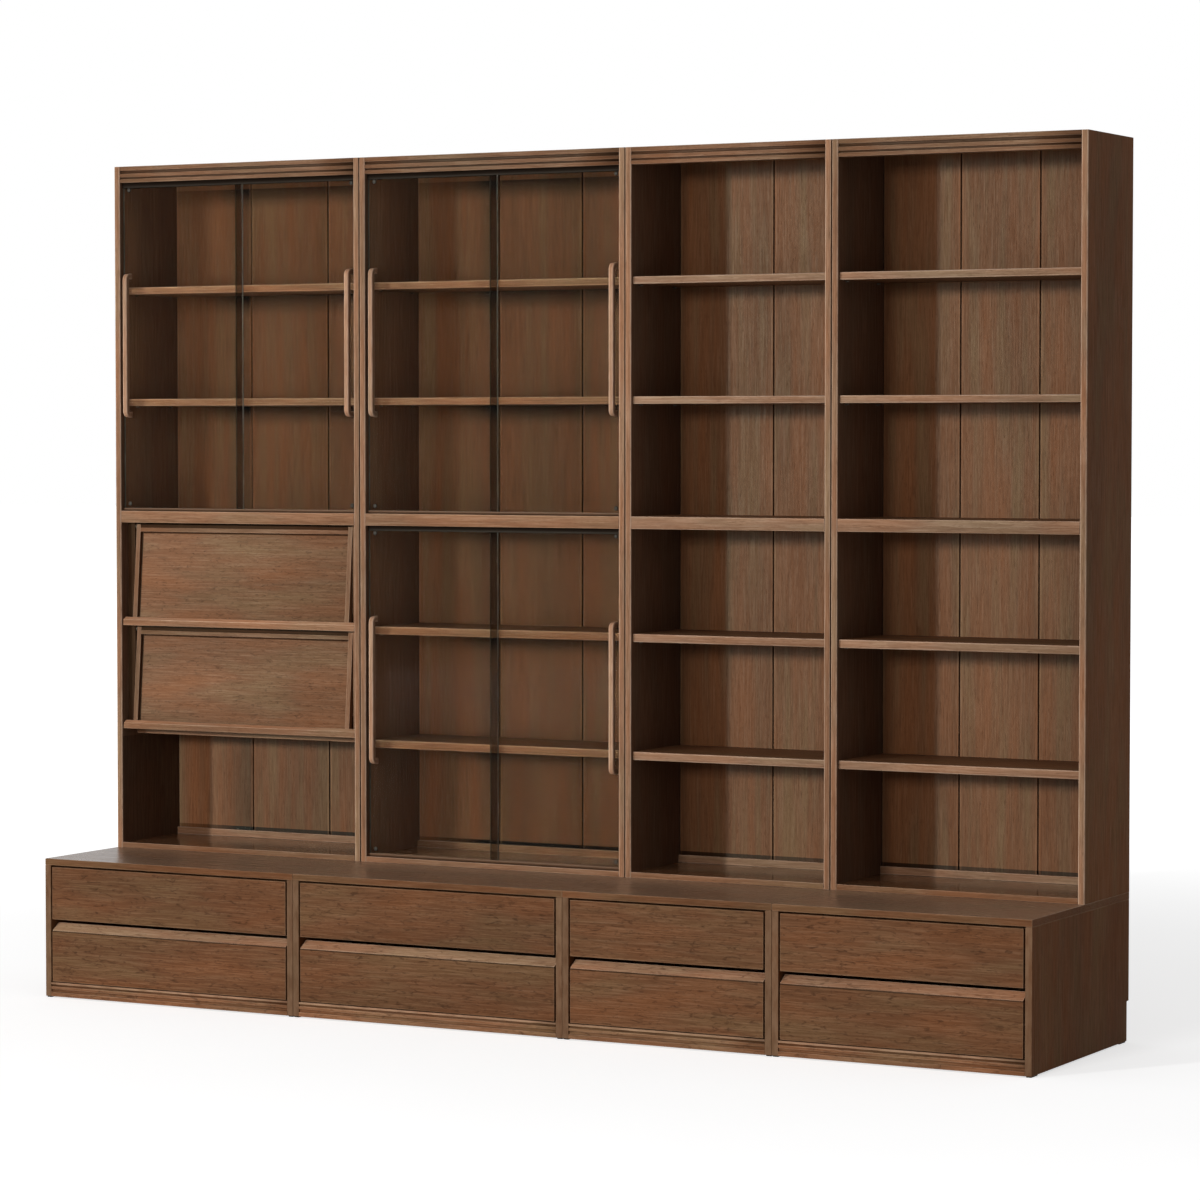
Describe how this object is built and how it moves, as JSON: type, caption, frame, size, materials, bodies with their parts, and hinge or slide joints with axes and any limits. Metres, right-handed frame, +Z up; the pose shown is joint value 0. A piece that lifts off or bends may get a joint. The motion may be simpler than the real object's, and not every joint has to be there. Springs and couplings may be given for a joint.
{
  "type": "bookcase with bottom drawers",
  "caption": "Wide wooden bookcase: shelving with sliding glass doors and tilted display flaps above a deeper base of inset drawers.",
  "frame": {"origin": "middle of the footprint, on the floor", "axes": "+X along the bookcase to the right, +Y from the front to the wall, +Z up"},
  "size_m": [2.8894, 0.65, 2.28],
  "materials": {
    "walnut_stain": "satin dark walnut stain",
    "drawer_lining": "sealed, paler than the fronts",
    "clear_glass": "polished",
    "dark_track": "matt dark brown",
    "grey_plastic": "satin grey",
    "black_pad": "matt black",
    "pin_steel": "brushed"
  },
  "bodies": {
    "carcass": {"base_backs": "walnut_stain", "base_bottoms": "walnut_stain", "base_feet": "black_pad", "base_plinths": "walnut_stain", "base_sides": "walnut_stain", "base_tops": "walnut_stain", "door_tracks": "dark_track", "drawer_runners": "drawer_lining", "flap_hardware": "pin_steel", "hutch_back_boards": "walnut_stain", "hutch_cornices": "walnut_stain", "hutch_floors": "walnut_stain", "hutch_foot_strips": "walnut_stain", "hutch_middle_shelves": "walnut_stain", "hutch_shelves_1": "walnut_stain", "hutch_shelves_2": "walnut_stain", "hutch_shelves_3": "walnut_stain", "hutch_shelves_4": "walnut_stain", "hutch_sides_left": "walnut_stain", "hutch_sides_right": "walnut_stain", "hutch_tops": "walnut_stain", "shelf_pins": "pin_steel"},
    "lower_drawer_1": {"drawer_front_lower_1": "walnut_stain", "drawer_box_lower_1": "drawer_lining"},
    "upper_drawer_1": {"drawer_front_upper_1": "walnut_stain", "drawer_box_upper_1": "drawer_lining"},
    "lower_drawer_2": {"drawer_front_lower_2": "walnut_stain", "drawer_box_lower_2": "drawer_lining"},
    "upper_drawer_2": {"drawer_front_upper_2": "walnut_stain", "drawer_box_upper_2": "drawer_lining"},
    "lower_drawer_3": {"drawer_front_lower_3": "walnut_stain", "drawer_box_lower_3": "drawer_lining"},
    "upper_drawer_3": {"drawer_front_upper_3": "walnut_stain", "drawer_box_upper_3": "drawer_lining"},
    "lower_drawer_4": {"drawer_front_lower_4": "walnut_stain", "drawer_box_lower_4": "drawer_lining"},
    "upper_drawer_4": {"drawer_front_upper_4": "walnut_stain", "drawer_box_upper_4": "drawer_lining"},
    "door_upper_1_left": {"door_upper_1_left_glass": "clear_glass", "door_upper_1_left_handle": "walnut_stain", "door_upper_1_left_bumpers": "grey_plastic"},
    "door_upper_1_right": {"door_upper_1_right_glass": "clear_glass", "door_upper_1_right_handle": "walnut_stain", "door_upper_1_right_bumpers": "grey_plastic"},
    "door_upper_2_left": {"door_upper_2_left_glass": "clear_glass", "door_upper_2_left_handle": "walnut_stain", "door_upper_2_left_bumpers": "grey_plastic"},
    "door_upper_2_right": {"door_upper_2_right_glass": "clear_glass", "door_upper_2_right_handle": "walnut_stain", "door_upper_2_right_bumpers": "grey_plastic"},
    "door_lower_2_left": {"door_lower_2_left_glass": "clear_glass", "door_lower_2_left_handle": "walnut_stain", "door_lower_2_left_bumpers": "grey_plastic"},
    "door_lower_2_right": {"door_lower_2_right_glass": "clear_glass", "door_lower_2_right_handle": "walnut_stain", "door_lower_2_right_bumpers": "grey_plastic"},
    "flap_1": {"flap_1_frame": "walnut_stain", "flap_1_panel": "walnut_stain"},
    "flap_2": {"flap_2_frame": "walnut_stain", "flap_2_panel": "walnut_stain"}
  },
  "joints": [
    {"name": "lower_drawer_1_slide", "type": "slide", "parent": "carcass", "child": "lower_drawer_1", "axis": [0, -1, 0], "range_m": [0, 0.4]},
    {"name": "upper_drawer_1_slide", "type": "slide", "parent": "carcass", "child": "upper_drawer_1", "axis": [0, -1, 0], "range_m": [0, 0.4]},
    {"name": "lower_drawer_2_slide", "type": "slide", "parent": "carcass", "child": "lower_drawer_2", "axis": [0, -1, 0], "range_m": [0, 0.4]},
    {"name": "upper_drawer_2_slide", "type": "slide", "parent": "carcass", "child": "upper_drawer_2", "axis": [0, -1, 0], "range_m": [0, 0.4]},
    {"name": "lower_drawer_3_slide", "type": "slide", "parent": "carcass", "child": "lower_drawer_3", "axis": [0, -1, 0], "range_m": [0, 0.4]},
    {"name": "upper_drawer_3_slide", "type": "slide", "parent": "carcass", "child": "upper_drawer_3", "axis": [0, -1, 0], "range_m": [0, 0.4]},
    {"name": "lower_drawer_4_slide", "type": "slide", "parent": "carcass", "child": "lower_drawer_4", "axis": [0, -1, 0], "range_m": [0, 0.4]},
    {"name": "upper_drawer_4_slide", "type": "slide", "parent": "carcass", "child": "upper_drawer_4", "axis": [0, -1, 0], "range_m": [0, 0.4]},
    {"name": "door_upper_1_left_slide", "type": "slide", "parent": "carcass", "child": "door_upper_1_left", "axis": [1, 0, 0], "range_m": [0, 0.325]},
    {"name": "door_upper_1_right_slide", "type": "slide", "parent": "carcass", "child": "door_upper_1_right", "axis": [1, 0, 0], "range_m": [-0.325, 0]},
    {"name": "door_upper_2_left_slide", "type": "slide", "parent": "carcass", "child": "door_upper_2_left", "axis": [1, 0, 0], "range_m": [0, 0.325]},
    {"name": "door_upper_2_right_slide", "type": "slide", "parent": "carcass", "child": "door_upper_2_right", "axis": [1, 0, 0], "range_m": [-0.325, 0]},
    {"name": "door_lower_2_left_slide", "type": "slide", "parent": "carcass", "child": "door_lower_2_left", "axis": [1, 0, 0], "range_m": [0, 0.325]},
    {"name": "door_lower_2_right_slide", "type": "slide", "parent": "carcass", "child": "door_lower_2_right", "axis": [1, 0, 0], "range_m": [-0.325, 0]},
    {"name": "flap_1_hinge", "type": "hinge", "parent": "carcass", "child": "flap_1", "pos_m": [-1.045, 0.057, 1.279], "axis": [-1, 0, 0], "range_deg": [0, 80]},
    {"name": "flap_2_hinge", "type": "hinge", "parent": "carcass", "child": "flap_2", "pos_m": [-1.045, 0.057, 0.992], "axis": [-1, 0, 0], "range_deg": [0, 80]}
  ]
}
